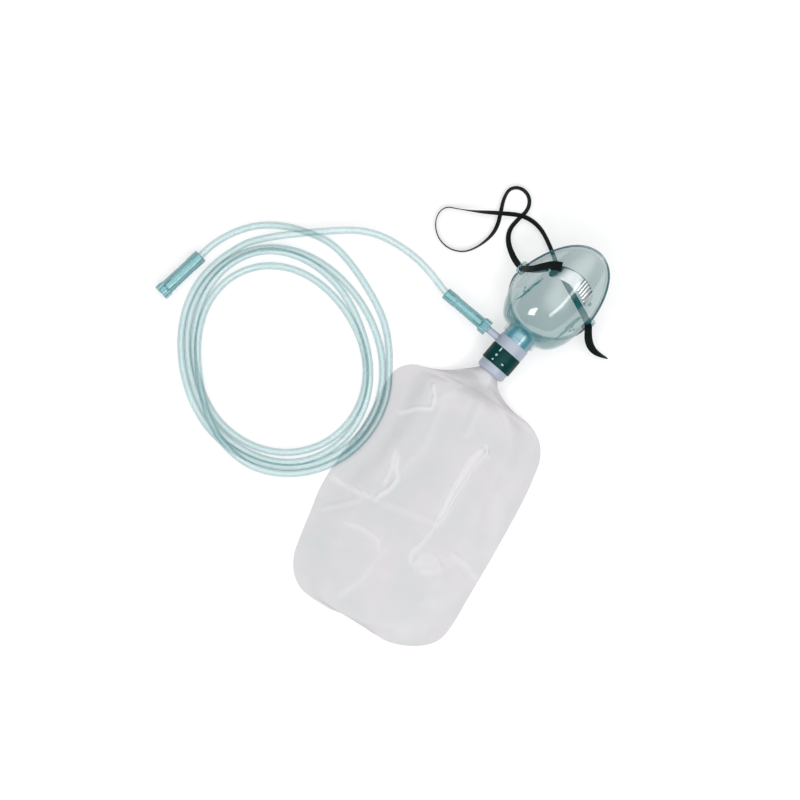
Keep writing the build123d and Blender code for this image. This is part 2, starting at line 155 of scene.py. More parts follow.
def cord_curve(name, points, radius, resolution=6):
    """A round cord along one open NURBS spline."""
    data = bpy.data.curves.new(name, "CURVE")
    data.dimensions = "3D"
    spline = data.splines.new("NURBS")
    spline.points.add(len(points) - 1)
    for point, place in zip(spline.points, points):
        point.co = (*(Vector(place) * MM), 1)
    spline.order_u = 3
    spline.use_endpoint_u = True
    data.resolution_u = resolution
    data.bevel_depth = radius * MM
    data.bevel_resolution = 5 if radius else 0
    data.use_fill_caps = bool(radius)
    obj = bpy.data.objects.new(name, data)
    scene.collection.objects.link(obj)
    return obj


def line_along(points, resolution=8):
    """Points read along the route's NURBS spline, in millimetres."""
    guide = cord_curve("guide", points, 0, resolution)
    mesh = bpy.data.meshes.new_from_object(guide)
    line = [v.co / MM for v in mesh.vertices]
    data = guide.data
    bpy.data.objects.remove(guide)
    bpy.data.curves.remove(data)
    bpy.data.meshes.remove(mesh)
    return line


def sweep(line, section, scale, roll=lambda t: 0.0):
    """Points and faces of a section carried along a line. The section's x lies level.

    Scale and roll, in degrees, depend on the share of the line's length.
    """
    total = [0.0]
    for a, b in zip(line, line[1:]):
        total.append(total[-1] + (b - a).length)
    verts = []
    level = Vector((1, 0, 0))
    for i, place in enumerate(line):
        tangent = (line[min(i + 1, len(line) - 1)] - line[max(i - 1, 0)]).normalized()
        side = tangent.cross(Vector((0, 0, 1)))
        if side.length > 0.05:
            level = side.normalized()
        level = (level - tangent * level.dot(tangent)).normalized()
        up = level.cross(tangent)
        t = total[i] / total[-1]
        turn = radians(roll(t))
        wide = level * cos(turn) + up * sin(turn)
        thick = up * cos(turn) - level * sin(turn)
        for x, y in section:
            verts.append(place + (wide * x + thick * y) * scale(t))
    count = len(section)
    faces = grid_faces(len(line), count, closed=True)
    faces.append(tuple(range(count)))
    faces.append(tuple(range((len(line) - 1) * count, len(line) * count)))
    return verts, faces


def rounded_strip(width, thickness):
    """A flat strip's section with round edges."""
    r = thickness / 2
    steps = 6
    section = []
    for side in (1, -1):
        for i in range(steps + 1):
            a = side * (pi / 2) - side * pi * i / steps
            section.append((side * (width / 2 - r) + r * cos(a) * side, r * sin(a)))
    return section


def ring_section(radius, count):
    return [(radius * cos(2 * pi * i / count), radius * sin(2 * pi * i / count))
            for i in range(count)]


def turned(place, axis, profile, count=20):
    """Points and faces of rings round an axis: (height along it, radius) of each."""
    across = axis.orthogonal().normalized()
    along = axis.cross(across)
    verts = []
    for height, radius in profile:
        for i in range(count):
            t = 2 * pi * i / count
            verts.append(place + (across * cos(t) + along * sin(t)) * radius + axis * height)
    return verts, grid_faces(len(profile), count, closed=True)


# ---- materials ----------------------------------------------------------------------

def srgb(r, g, b):
    """A colour given as 0 to 255 screen values."""
    out = []
    for v in (r, g, b):
        v /= 255
        out.append(v / 12.92 if v <= 0.04045 else ((v + 0.055) / 1.055) ** 2.4)
    return (*out, 1.0)


class Finish:
    """A node material built round one Principled shader."""

    def __init__(self, name, roughness=0.4, **sockets):
        self.material = bpy.data.materials.new(name)
        self.material.use_nodes = True
        self.tree = self.material.node_tree
        self.shader = self.tree.nodes["Principled BSDF"]
        self.set("Roughness", roughness)
        for key, value in sockets.items():
            self.set(key.replace("_", " "), value)
        self.coords = self.node("ShaderNodeTexCoord").outputs["Object"]

    def node(self, kind, **settings):
        made = self.tree.nodes.new(kind)
        for key, value in settings.items():
            setattr(made, key, value)
        return made

    def link(self, a, b):
        self.tree.links.new(a, b)

    def set(self, socket, value):
        self.shader.inputs[socket].default_value = value

    def noise(self, scale, detail=3, stretch=None, roughness=0.55):
        """Noise that has about scale waves in a millimetre."""
        source = self.coords
        if stretch:
            mapping = self.node("ShaderNodeMapping")
            mapping.inputs["Scale"].default_value = stretch
            self.link(source, mapping.inputs["Vector"])
            source = mapping.outputs["Vector"]
        made = self.node("ShaderNodeTexNoise")
        made.inputs["Scale"].default_value = scale * 1000
        made.inputs["Detail"].default_value = detail
        made.inputs["Roughness"].default_value = roughness
        self.link(source, made.inputs["Vector"])
        return made.outputs["Fac"]

    def ramp(self, source, stops):
        made = self.node("ShaderNodeValToRGB")
        elements = made.color_ramp.elements
        while len(elements) < len(stops):
            elements.new(0.5)
        for element, (place, colour) in zip(elements, stops):
            element.position = place
            element.color = colour
        self.link(source, made.inputs["Fac"])
        return made.outputs["Color"]

    def spread(self, source, low, high, from_low=0.3, from_high=0.7):
        """Turns the from range into values between low and high."""
        made = self.node("ShaderNodeMapRange")
        made.inputs["From Min"].default_value = from_low
        made.inputs["From Max"].default_value = from_high
        made.inputs["To Min"].default_value = low
        made.inputs["To Max"].default_value = high
        self.link(source, made.inputs["Value"])
        return made.outputs["Result"]

    def colour(self, source):
        self.link(source, self.shader.inputs["Base Color"])

    def vary(self, colour, amount=0.06, scale=0.12):
        """Base colour with gentle lighter and darker patches."""
        darker = tuple(c * (1 - amount) for c in colour[:3]) + (1,)
        lighter = tuple(min(1, c * (1 + amount)) for c in colour[:3]) + (1,)
        self.colour(self.ramp(self.noise(scale), [(0.3, darker), (0.7, lighter)]))

    def bump(self, source, distance, strength):
        """Relief of the given height in millimetres."""
        made = self.node("ShaderNodeBump")
        made.inputs["Strength"].default_value = strength
        made.inputs["Distance"].default_value = distance * MM
        self.link(source, made.inputs["Height"])
        self.link(made.outputs["Normal"], self.shader.inputs["Normal"])

    def edge_alpha(self, facing, grazing, blend, start):
        """Thin to look through face on, denser where it is seen edge on."""
        weight = self.node("ShaderNodeLayerWeight")
        weight.inputs["Blend"].default_value = blend
        self.link(self.spread(weight.outputs["Facing"], facing, grazing, start, 1.0),
                  self.shader.inputs["Alpha"])

    def edge_colour(self, face, edge, blend):
        """One colour face on, turning to another where it is seen edge on."""
        weight = self.node("ShaderNodeLayerWeight")
        weight.inputs["Blend"].default_value = blend
        self.colour(self.ramp(weight.outputs["Facing"], [(0.05, face), (0.85, edge)]))


def clear_plastic(name, face, edge, facing, grazing, roughness=0.15, ripple=0.0, blend=0.5,
                  start=0.0):
    """Tinted see-through PVC, with its opacity face on and at grazing angles.

    Ripple is in millimetres, and the opacity rises from the Layer Weight given as start.
    """
    finish = Finish(name, roughness, Coat_Weight=0.5, Coat_Roughness=0.06)
    finish.set("IOR", 1.9)
    finish.set("Specular IOR Level", 0.9)
    finish.edge_colour(face, edge, blend)
    finish.edge_alpha(facing, grazing, blend, start)
    finish.bump(finish.noise(0.09, 2), ripple, 0.5)
    return finish.material


tube_skin = clear_plastic(
    "tube_skin", srgb(132, 208, 212), srgb(44, 124, 130), 0.19, 0.88, roughness=0.12, start=0.3)
tube_bore = clear_plastic(
    "tube_bore", srgb(160, 222, 225), srgb(60, 152, 157), 0.08, 0.5, roughness=0.12, start=0.25)
connector_clear = clear_plastic(
    "connector_clear", srgb(92, 188, 194), srgb(6, 100, 110), 0.56, 0.94, start=0.2)
mask_clear = clear_plastic(
    "mask_clear", srgb(42, 126, 128), srgb(46, 146, 150), 0.32, 0.42,
    roughness=0.07, ripple=0.036, blend=0.45, start=0.1)
neck_clear = clear_plastic(
    "neck_clear", srgb(140, 186, 192), srgb(80, 144, 152), 0.06, 0.2,
    roughness=0.1, ripple=0.024, blend=0.45, start=0.2)
mask_edge = clear_plastic(
    "mask_edge", srgb(24, 104, 116), srgb(2, 62, 76), 0.68, 0.95, ripple=0.024)
ear_clear = clear_plastic(
    "ear_clear", srgb(54, 150, 160), srgb(8, 96, 108), 0.36, 0.85, ripple=0.012, start=0.15)
crease_clear = clear_plastic(
    "crease_clear", srgb(34, 166, 172), srgb(4, 116, 126), 0.52, 0.92, ripple=0.024)
swivel_teal = clear_plastic(
    "swivel_teal", srgb(88, 172, 190), srgb(40, 124, 148), 0.76, 0.95, roughness=0.2, ripple=0.024)

plastic = Finish("valve_white", 0.38, Subsurface_Weight=0.08)
plastic.set("Subsurface Radius", (0.002, 0.002, 0.002))
plastic.vary(srgb(170, 178, 193), 0.04, 0.06)
plastic.bump(plastic.noise(2.2, 4), 0.02, 0.35)
valve_white = plastic.material

plastic = Finish("collar_green", 0.42, Specular_IOR_Level=0.12)
plastic.vary(srgb(0, 56, 54), 0.25, 0.15)
plastic.bump(plastic.noise(2.5, 4), 0.02, 0.4)
collar_green = plastic.material

plastic = Finish("printed_mark", 0.5)
plastic.vary(srgb(172, 200, 200), 0.05, 0.6)
plastic.bump(plastic.noise(5, 3), 0.02, 0.4)
printed_mark = plastic.material

plastic = Finish("silicone", 0.45, Subsurface_Weight=0.2)
plastic.set("Subsurface Radius", (0.001, 0.001, 0.001))
plastic.vary(srgb(206, 216, 214), 0.03, 0.3)
plastic.bump(plastic.noise(3, 3), 0.02, 0.3)
silicone = plastic.material

film = Finish("bag_film", 0.42, Coat_Weight=0.12, Coat_Roughness=0.25)
film.set("Alpha", 0.9)
film_patches = film.ramp(
    film.noise(0.028, 3), [(0.3, srgb(201, 204, 205)), (0.7, srgb(212, 207, 211))])
# the bag's mesh says where a painted highlight whitens the film along its creases
film_painted_highlight = film.node("ShaderNodeAttribute", attribute_name="crease")
film_mix = film.node("ShaderNodeMix", data_type="RGBA")
film.link(film_painted_highlight.outputs["Fac"], film_mix.inputs["Factor"])
film.link(film_patches, film_mix.inputs["A"])
# the colour of the painted highlight along the creases
film_mix.inputs["B"].default_value = srgb(230, 228, 230)
film.colour(film_mix.outputs["Result"])
film.bump(film.noise(0.16, 4, roughness=0.6), 0.2, 0.5)
film.link(film.spread(film.noise(0.06, 3), 0.36, 0.5), film.shader.inputs["Roughness"])
bag_film = film.material

metal = Finish("clip_aluminium", 0.16, Metallic=1.0)
metal.vary(srgb(222, 222, 224), 0.04, 0.2)
brushed = metal.noise(1.1, 5, stretch=(0.15, 3.0, 3.0))
metal.bump(brushed, 0.03, 0.35)
metal.link(metal.spread(brushed, 0.08, 0.16), metal.shader.inputs["Roughness"])
clip_aluminium = metal.material

woven = Finish(
    "strap_elastic", 0.62, Sheen_Weight=0.15, Sheen_Roughness=0.4, Specular_IOR_Level=0.08)
rib = woven.node("ShaderNodeTexWave", wave_type="BANDS", bands_direction="DIAGONAL")
rib.inputs["Scale"].default_value = 420
rib.inputs["Distortion"].default_value = 0.6
woven.link(woven.coords, rib.inputs["Vector"])
woven.colour(woven.ramp(rib.outputs["Fac"], [(0.2, srgb(2, 10, 8)), (0.9, srgb(13, 27, 24))]))
woven.bump(rib.outputs["Fac"], 0.12, 0.8)
strap_elastic = woven.material


# ---- camera -------------------------------------------------------------------------

camera_data = bpy.data.cameras.new("camera")
camera_data.lens = 185
camera_data.sensor_width = 36
camera_data.clip_end = 20
camera = bpy.data.objects.new("camera", camera_data)
camera.location = (-0.069, -0.0141, 3.5)
camera.rotation_euler = (0, 0, radians(40.5))
scene.collection.objects.link(camera)
scene.camera = camera


# ---- oxygen tubing: one hose, lead, coil and tail -----------------------------------

LEAD_ROUTE = [
    (-90.5, 80, 20.2), (-99, 80.2, 19.5), (-109, 82.5, 19.2), (-121, 85, 18.2),
    (-137, 86.5, 16.6), (-154, 85.3, 14.9), (-171, 81.9, 13.2), (-185.5, 75.2, 11.8),
    (-197, 66.5, 10.7), (-209, 55, 9.9), (-221, 43, 9.5), (-232, 31.5, 9),
    (-242, 20.5, 7), (-250.5, 9.5, 4.6), (-256.5, 0, 3.4),
]
TAIL_ROUTE = [
    (-95.5, 3, 3.1), (-104, 12.8, 3.1), (-115, 22.5, 3.1), (-127, 30.5, 3.1),
    (-142, 37, 3.1), (-160, 43, 3.1), (-177, 47.2, 3.1), (-193, 49.3, 3.1),
    (-208, 48, 3.1), (-223.4, 42.6, 3.1), (-238, 35.8, 3.1), (-250.5, 27, 3.1),
    (-260.5, 16.5, 3.2), (-267.8, 5, 3.8), (-273, -7, 5), (-276, -18, 6.4),
    (-277.2, -28, 7.2), (-278.3, -38.65, 7.2),
]
COIL_CENTRE = (-169.0, -54.0)
COIL_START = 148.3      # degrees round the centre where the lead joins
COIL_END = 1477.8       # and where the tail leaves, after 3.7 turns
COIL_STEPS = 90         # 24 points a turn
# (degrees, how far outside the mean ring, height) of the loose turns
COIL_KEYS = [
    (148.3, 14.3, 3.4), (160, 10.8, 3), (180, 9.3, 3), (212, 7.4, 3), (240, 6.9, 3),
    (262, 6.6, 3), (290, 4.9, 3), (315, 5.4, 3.4), (345, 5.8, 3.2), (375, 6.4, 3),
    (403, 6.9, 3), (450, 7.8, 3), (495, 8.6, 3), (520, 6.2, 3), (540, 4.2, 3), (572, 2, 3),
    (600, 1.5, 3), (622, 1.2, 3), (650, 0.2, 3.6), (675, 1.2, 5.4), (692, 0.4, 4.4),
    (710, -1.2, 3.6), (735, -3.6, 5.4), (763, -4.5, 7.4), (785, -2.8, 5.4), (810, 1.2, 3),
    (838, 4.4, 5.6), (855, 6.1, 8.4), (880, 2.6, 7.6), (900, -1.2, 4.6), (916, -2.8, 3),
    (932, -3, 3), (960, -3.8, 3), (982, -4.2, 3), (1010, -6.4, 3), (1035, -7.5, 3),
    (1080, -7.9, 3), (1123, -7.4, 3), (1165, -7.3, 3), (1215, -7, 3), (1256, -7.2, 3),
    (1275, -7.4, 4.2), (1292, -7.2, 6.4), (1312, -5.8, 8.4), (1329, -2.4, 9), (1342, 1.3, 9),
    (1355, 5.2, 9), (1366, 8.4, 7.6), (1378, 10.4, 4.2), (1395, 10.6, 3.2), (1425, 11, 3),
    (1455, 12, 3), (1477.8, 12.7, 3.1),
]
ON_BAG = 0.9            # how much higher the turns lie where they cross the bag
BAG_SIDE = -20          # and where that is, degrees
CONTROL_REACH = 1.0086  # the spline's control points stand this much outside its line


def ring_radius(angle):
    """The mean ring of the turns, a little out of round."""
    a = radians(angle)
    return (82.19 + 0.98 * cos(a) + 0.19 * sin(a) + 4.03 * cos(2 * a) - 4.8 * sin(2 * a)
            - 0.16 * cos(3 * a) + 0.93 * sin(3 * a))


def coil_points():
    points = []
    for i in range(1, COIL_STEPS):
        angle = lerp(COIL_START, COIL_END, i / COIL_STEPS)
        offset, height = hermite(COIL_KEYS, angle)
        height += ON_BAG * max(0.0, cos(radians(angle - BAG_SIDE))) ** 8
        reach = (ring_radius(angle) + offset) * CONTROL_REACH
        a = radians(angle)
        points.append((COIL_CENTRE[0] + reach * cos(a), COIL_CENTRE[1] + reach * sin(a), height))
    return points


tube_route = LEAD_ROUTE + coil_points() + TAIL_ROUTE
tubing = cord_curve("oxygen_tubing_skin", tube_route, TUBE_R)
tubing.data.materials.append(tube_skin)
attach(tubing, "line")
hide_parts("oxygen_tubing_lead", "oxygen_tubing_coil", "oxygen_tubing_tail")
bore_curve = cord_curve("bore_curve", tube_route, TUBE_BORE_R)
bore = bpy.data.objects.new("oxygen_tubing_bore", bpy.data.meshes.new_from_object(bore_curve))
bpy.data.objects.remove(bore_curve)
scene.collection.objects.link(bore)
bore.data.shade_smooth()
bore.data.materials.clear()
bore.data.materials.append(tube_bore)
bore.parent = tubing


# ---- head strap: one flat elastic ribbon --------------------------------------------

STRAP_ROUTE = [
    (-38.4, 158.4, 63.4), (-42.6, 156.4, 61.2), (-46, 153.2, 58.2), (-50, 148, 53.4),
    (-54.2, 143, 48.6), (-58.5, 139.6, 42),
    (-61.6, 137.9, 34.5), (-63.4, 137.4, 28.5), (-68.5, 138.2, 21), (-76, 141, 13),
    (-86, 147, 6), (-92.5, 156, 3), (-92.5, 168, 2.8), (-91, 180, 2.8), (-97, 189, 2.8),
    (-107.5, 190.5, 2.8), (-115, 184, 2.8), (-113.4, 173.8, 2.8), (-107.6, 163.1, 2.8),
    (-102.3, 153.1, 2.8), (-100.5, 143, 2.8), (-102.5, 130, 2.8), (-108, 118, 2.8),
    (-118.2, 111.3, 2.8), (-130, 110.5, 2.8), (-141, 116, 2.8), (-147.7, 126, 2.8),
    (-146.5, 136.5, 2.8), (-137, 141.5, 3.5), (-122, 151, 6), (-106, 163, 7),
    (-91, 173.5, 6.5), (-75, 175.5, 3.5), (-59.4, 169.6, 2.8), (-44.4, 161.2, 2.8),
    (-32.3, 154.8, 3.2), (-19.9, 150.8, 5), (-8, 146.5, 9), (1.5, 142.6, 14),
    (8, 139.6, 18.6), (11.6, 137, 22.6), (14.8, 132.8, 23), (19, 128.4, 18.4),
    (25, 125, 12.4), (33, 124.4, 7), (41.6, 127.4, 3.2),
]
STRAP_WIDTH = 5.5
STRAP_THICKNESS = 0.8
# (share of the length, roll in degrees): 0 lies flat, 90 stands on its edge
STRAP_ROLL = [
    (0, 2), (0.03, 4), (0.07, 20), (0.12, 10), (0.17, 38), (0.24, 55), (0.3, 62), (0.36, 50),
    (0.42, 80), (0.5, 88), (0.58, 86), (0.63, 52), (0.69, 42), (0.75, 50), (0.82, 40),
    (0.86, 12), (0.93, 4), (0.955, 10), (0.98, 40), (1, 78),
]
# (share of the length, times its size): pulled wide where it lies over the nose clip's end
STRAP_SPREAD = [
    (0, 1.45), (0.04, 1.4), (0.075, 1.0), (0.86, 1.0), (0.92, 1.15), (0.955, 1.25), (1, 0.9),
]

strap_line = line_along(STRAP_ROUTE)
strap_verts, strap_faces = sweep(
    strap_line, rounded_strip(STRAP_WIDTH, STRAP_THICKNESS),
    scale=lambda t: hermite(STRAP_SPREAD, t)[0], roll=lambda t: hermite(STRAP_ROLL, t)[0])
strap = add_mesh(
    "head_strap_ribbon", strap_verts, strap_faces, strap_elastic, "mask")
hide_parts("head_strap")


# ---- mask shell ---------------------------------------------------------------------

NECK_CENTRE_R = AXIS_Z - PAGE_Z
# (page, angle, r at the chin, r at the nose, half width, r of the widest place),
# with r measured from the line that the pages fan out from
PAGES = [
    (0, 90.0, NECK_CENTRE_R - NECK_R, NECK_CENTRE_R + NECK_R, NECK_R, NECK_CENTRE_R),
    (1, 84.0, 7.7, 46.0, 21.0, 26.0),
    (2, 76.0, 7.6, 56.0, 25.5, 30.5),
    (3, 68.0, 7.6, 65.0, 28.5, 34.0),
    (4, 60.0, 7.7, 75.5, 31.0, 37.5),
    (5, 52.0, 8.0, 85.4, 32.6, 40.5),
    (6, 43.0, 8.6, 96.5, 33.7, 43.5),
    (7, RIM_ANGLE, 9.4, 108.4, 34.2, 45.8),
]
ROWS_PER_PAGE = 7
OUTLINE_STEPS = 12
DOME_CENTRE = (2.5, 45.0)   # from the barrel and the band
DOME_R = 24.0
DOME_RISE = 2.6
DOME_FROM_Z = 26.0          # only the top of the shell swells


def page_outline(page, grow):
    """A section of the mask: round at the chin, widest below the middle, narrow at the nose."""
    low, high, half, widest = page[1:]
    low, high, half = low - grow, high + grow, half + grow
    nose = high - widest
    chin = widest - low
    squeeze = smooth((abs(nose - chin) - 1) / 8)
    upper = lerp(0.866, 0.83, squeeze)
    tip = lerp(0.5, 0.48, squeeze)
    right = [
        (0.5 * half, widest - 0.866 * chin),
        (0.866 * half, widest - 0.5 * chin),
        (half, widest),
        (upper * half, widest + 0.5 * nose),
        (tip * half, widest + 0.866 * nose),
    ]
    left = [(-x, r) for x, r in reversed(right)]
    return closed_curve([(0, low)] + right + [(0, high)] + left, OUTLINE_STEPS)


def page_point(angle, x, r, lift=0.0):
    """A point on a page, before the mask is rolled."""
    a = radians(angle)
    return Vector((
        AXIS_X + x,
        BAND_Y + PAGE_Y + r * cos(a) - lift * sin(a),
        PAGE_Z + r * sin(a) + lift * cos(a),
    ))


def roll_mask(point):
    """The mask's lean about the barrel; its soft rim flattens where it rests on the floor."""
    a = radians(MASK_ROLL)
    x, z = point[0] - AXIS_X, point[2] - AXIS_Z
    height = AXIS_Z - x * sin(a) + z * cos(a)
    return Vector((AXIS_X + x * cos(a) + z * sin(a), point[1], max(height, RESTING_Z)))


def shell_rows(grow):
    rows = []
    last = (len(PAGES) - 1) * ROWS_PER_PAGE
    for i in range(last + 1):
        page = hermite(PAGES, i / ROWS_PER_PAGE)
        rows.append([page_point(page[0], x, r) for x, r in page_outline(page, grow)])
    return rows


def add_dome(rows):
    """Swells the shell's top into a ball between the two cheek creases."""
    for row in rows:
        for i, p in enumerate(row):
            x = p.x - AXIS_X - DOME_CENTRE[0]
            y = p.y - BAND_Y - DOME_CENTRE[1]
            reach = hypot(x, y) / DOME_R
            if p.z > DOME_FROM_Z and reach < 1:
                rise = DOME_RISE * (1 - reach**2) ** 1.5
                row[i] = p + Vector((0, -0.35 * rise, rise))
    return rows


def tube_rows(rings):
    """Rings round the barrel: (distance beyond the band's middle, radius) of each."""
    count = 12 * OUTLINE_STEPS
    rows = []
    for y, radius in rings:
        rows.append([
            Vector((
                AXIS_X + radius * sin(2 * pi * i / count),
                BAND_Y + y,
                AXIS_Z - radius * cos(2 * pi * i / count),
            ))
            for i in range(count)
        ])
    return rows


outer = add_dome(shell_rows(0))
columns = len(outer[0])
neck = tube_rows([(8.5, 14.2), (8.7, 14.55), (9.2, 14.65), (11, 14.6), (13, 14.65)])
rim_page = PAGES[-1][1:]
flange = []
for grow, lift in ((0.4, -0.55), (1.2, -0.75), (2.2, -0.75), (FLANGE_WIDTH, FLANGE_LIFT)):
    flange.append([page_point(RIM_ANGLE, x, r, lift) for x, r in page_outline(rim_page, grow)])
rows = neck + outer[1:] + flange
shell_top = [p for row in rows for p in row]
shell_faces = grid_faces(len(rows), columns, closed=True)
surface = BVHTree.FromPolygons(shell_top, shell_faces)

mask = add_mesh("mask_shell_clear", [roll_mask(p) for p in shell_top], shell_faces,
                mask_clear, "mask")
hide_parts("mask_shell")
# the neck is clearer, so the swivel shows through it
mask.data.materials.append(neck_clear)
for face in mask.data.polygons:
    middle = face.center / MM
    along = middle.y - BAND_Y
    if along < PAGE_Y + 1.5 and hypot(middle.x - AXIS_X, middle.z - AXIS_Z) < NECK_R + 2:
        face.material_index = 1
thick = mask.modifiers.new("wall", "SOLIDIFY")
thick.thickness = WALL * MM
thick.offset = -1


def mask_piece(name, verts, faces, material, slot="clear_mask"):
    """A piece on the mask, from points given before the mask is rolled."""
    return add_mesh(name, [roll_mask(p) for p in verts], faces, material, "mask")


def seen_from_above(tree, x, y):
    """The place of a surface seen from above, given from the barrel and band, and its normal."""
    start = Vector((AXIS_X + x, BAND_Y + y, ABOVE_ALL))
    place, normal = tree.ray_cast(start, Vector((0, 0, -1)))[:2]
    return place, -normal if normal.z < 0 else normal


def on_shell(x, y, lift):
    """A place lifted off the shell's top, and the shell's normal there."""
    place, normal = seen_from_above(surface, x, y)
    return place + normal * lift, normal


def rim_tube(points, radii, count=8):
    """A round bead along the rim, of the radius given at each point."""
    a = radians(RIM_ANGLE)
    up = Vector((0, -sin(a), cos(a)))
    verts = []
    total = len(points)
    for i, p in enumerate(points):
        tangent = (points[(i + 1) % total] - points[i - 1]).normalized()
        side = tangent.cross(up).normalized()
        for k in range(count):
            turn = 2 * pi * k / count
            verts.append(p + (side * cos(turn) + up * sin(turn)) * radii[i])
    faces = []
    for i in range(total):
        for k in range(count):
            j, m = (i + 1) % total, (k + 1) % count
            faces.append((i * count + k, i * count + m, j * count + m, j * count + k))
    return verts, faces


BEAD_R = 0.95
CHIN_BEAD_R = 0.2
bead_line = page_outline(rim_page, FLANGE_WIDTH)
bead = [page_point(RIM_ANGLE, x, r, FLANGE_LIFT) for x, r in bead_line]
bead_radii = [lerp(CHIN_BEAD_R, BEAD_R, smooth((r - 22) / 26)) for x, r in bead_line]
mask_piece("mask_rim_bead", *rim_tube(bead, bead_radii), mask_edge)

neck_lip = tube_rows([(8.7, 13.4), (8.4, 13.8), (8.6, 14.3), (9.1, 14.5), (9.5, 14.4)])
mask_piece("mask_neck_lip", [p for row in neck_lip for p in row],
           grid_faces(len(neck_lip), columns, closed=True), neck_clear)


EAR_X = 36.8
EAR_REACH = 51.5
EAR_STEPS = 48
EAR_FACES = ((-1.3, 1), (0.1, -1))     # (height, which way its edges are rounded)
# (half width, half length, rounding) of the rings between the outline and the slot
EAR_RINGS = ((3.8, 6.6, 0.25), (3.5, 6.3, 0.0), (1.9, 4.3, 0.0), (1.6, 4.0, 0.25))
EAR_POWER = 4                          # between an ellipse, 2, and a rectangle


def ear(side):
    """A strap ear with a rounded slot, standing off the rim."""
    verts = []
    for lift, inwards in EAR_FACES:
        for half_x, half_y, rounding in EAR_RINGS:
            for i in range(EAR_STEPS):
                a = 2 * pi * i / EAR_STEPS
                corner = abs(cos(a) / half_x) ** EAR_POWER + abs(sin(a) / half_y) ** EAR_POWER
                reach = corner ** (-1 / EAR_POWER)
                verts.append(page_point(
                    RIM_ANGLE, side * EAR_X + reach * cos(a), EAR_REACH + reach * sin(a),
                    lift + inwards * rounding))
    last = len(EAR_RINGS) - 1
    layer = len(EAR_RINGS) * EAR_STEPS
    faces = []
    for face in grid_faces(len(EAR_RINGS), EAR_STEPS, closed=True):
        faces += [face, tuple(i + layer for i in face)]
    for i in range(EAR_STEPS):
        for ring in (0, last):
            a = ring * EAR_STEPS + i
            b = ring * EAR_STEPS + (i + 1) % EAR_STEPS
            faces.append((a, b, b + layer, a + layer))
    return verts, faces


for side, name in ((-1, "left"), (1, "right")):
    smooth_by_angle(mask_piece(f"mask_ear_{name}", *ear(side), ear_clear), 40)

# folded creases moulded in each cheek, seen as bright edges
CREASES = {
    "left_long": ((-25.6, 32.4), (-24.4, 39), (-23.6, 48), (-22.6, 56.5)),
    "left_short": ((-24.2, 49.5), (-22.6, 54), (-21.8, 60)),
    "right_long": ((20.6, 27.6), (21.6, 37), (22.9, 48), (24.6, 60)),
    "right_short": ((20.2, 40), (21.2, 47), (22.8, 56)),
}
CREASE_R = 0.95
CREASE_STEPS = 28
for name, route in CREASES.items():
    keys = [(k / (len(route) - 1), *p) for k, p in enumerate(route)]
    line = [on_shell(*hermite(keys, i / CREASE_STEPS), 0.25)[0] for i in range(CREASE_STEPS + 1)]
    verts, faces = sweep(line, ring_section(CREASE_R, 8),
                         scale=lambda t: 0.35 + 0.65 * sin(pi * min(max(t, 0.02), 0.98)))
    mask_piece(f"mask_crease_{name}", verts, faces, crease_clear)

# breathing holes: three small rimmed eyelets in each cheek
VENT_X = 25.5
VENT_Y = 44.0
VENT_SPREAD = 1.9
VENT_PROFILE = ((-0.5, 0.75), (0.25, 0.8), (0.35, 1.1), (0.0, 1.35))
for side, name in ((-1, "left"), (1, "right")):
    for k in range(3):
        a = 2 * pi * k / 3 + 0.4
        place, normal = on_shell(
            side * VENT_X + VENT_SPREAD * cos(a), VENT_Y + VENT_SPREAD * sin(a), 0.1)
        mask_piece(f"mask_vent_{name}_{k + 1}", *turned(place, normal, VENT_PROFILE), mask_edge)


# ---- nose clip ----------------------------------------------------------------------

CLIP_Y = 73.5
CLIP_Z = 60.0
CLIP_LEAN = 50.0
CLIP_WIDTH = 10.0
CLIP_HALF_SPAN = 20.5
CLIP_TOP = 1.15             # heights of its two faces above the shell
CLIP_BOTTOM = 0.25
CLIP_EDGE = 0.25            # how far its long edges are rounded
ROUND_END = 0.18            # share of its half span that the rounded ends take
RIB_HEIGHT = 0.22
RIB_RATE = 50
RIBS = (0.14, 0.86)         # the ribs cross the right half
RIB_FADE = 0.1
SPAN_STEPS = 160
WIDTH_STEPS = 14

lean = radians(CLIP_LEAN)
clip_up = Vector((0, cos(lean), sin(lean)))
clip_across = Vector((0, -sin(lean), cos(lean)))
clip_origin = Vector((AXIS_X, BAND_Y + CLIP_Y, CLIP_Z))


def clip_base(x, s):
    """A place on the nose bridge, x along the clip and s across it, and its normal."""
    middle = clip_origin + Vector((x, 0, 0)) + clip_across * s
    place, normal = surface.ray_cast(middle + clip_up * 60, -clip_up)[:2]
    if place is None:
        place, normal = surface.find_nearest(middle)[:2]
    return place, -normal if normal.dot(clip_up) < 0 else normal


clip_verts = []
for face_lift, inwards in ((CLIP_TOP, -1), (CLIP_BOTTOM, 1)):
    for i in range(SPAN_STEPS + 1):
        t = 2 * i / SPAN_STEPS - 1
        end = max(0.0, abs(t) - (1 - ROUND_END)) / ROUND_END
        half = CLIP_WIDTH / 2 * sqrt(max(0.0, 1 - 0.75 * end**3))
        shown = smooth((t - RIBS[0]) / RIB_FADE) * smooth((RIBS[1] - t) / RIB_FADE)
        rib = RIB_HEIGHT * sin(t * RIB_RATE) * shown
        for k in range(WIDTH_STEPS + 1):
            s = 2 * k / WIDTH_STEPS - 1
            soften = CLIP_EDGE * max(0.0, abs(s) - 0.85) / 0.15
            place, normal = clip_base(t * CLIP_HALF_SPAN, s * half)
            clip_verts.append(place + normal * (face_lift + rib + inwards * soften))
per_side = (SPAN_STEPS + 1) * (WIDTH_STEPS + 1)
faces = grid_faces(SPAN_STEPS + 1, WIDTH_STEPS + 1)
clip_faces = faces + [tuple(i + per_side for i in reversed(f)) for f in faces]
